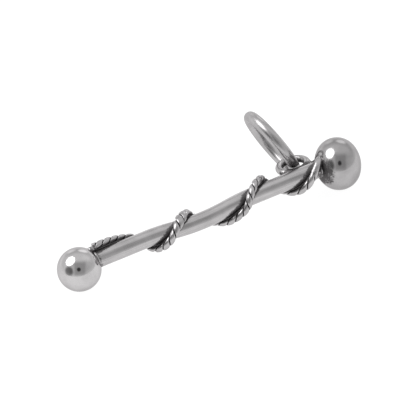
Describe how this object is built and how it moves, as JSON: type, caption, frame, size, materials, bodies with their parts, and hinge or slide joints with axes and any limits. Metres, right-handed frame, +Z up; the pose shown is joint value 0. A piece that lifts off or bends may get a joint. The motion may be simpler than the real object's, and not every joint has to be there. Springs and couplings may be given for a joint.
{
  "type": "magic wand charm",
  "caption": "Small silver charm of a magic wand: a straight shaft with a ball at the tip and a knob at the grip, wound with twisted wire, with a soldered loop and a jump ring to hang it by.",
  "frame": {"origin": "middle of the charm's box in X and Y, at the level of the surface that its two balls lie on", "axes": "+Z up, +X along the shaft from the tip ball to the knob, +Y towards the side that the loop and the jump ring are on"},
  "size_m": [0.0278, 0.0104, 0.0065],
  "materials": {
    "silver_polished": "polished 925 silver, hand finished, with fine rub marks and a little dark tarnish beside the joints",
    "silver_rope": "polished 925 silver wire, bright on the crests of the twist and black with oxide between the strands",
    "silver_solder": "silver solder, smooth, darkened with oxide"
  },
  "bodies": {
    "wand": {"shaft": "silver_polished", "tip_ball": "silver_polished", "end_knob": "silver_polished", "tip_solder": "silver_solder", "knob_solder": "silver_solder", "rope_strand_a": "silver_rope", "rope_strand_b": "silver_rope", "rope_tip_solder": "silver_solder", "rope_knob_solder": "silver_solder", "bail_loop": "silver_polished", "loop_solder": "silver_solder"},
    "ring": {"jump_ring": "silver_polished"}
  },
  "joints": [
    {"name": "ring_swing", "type": "hinge", "parent": "wand", "child": "ring", "pos_m": [0.00882, 0.0005, 0.00192], "axis": [0.9332, 0.071, 0.3522], "range_deg": [-110, 0]}
  ]
}
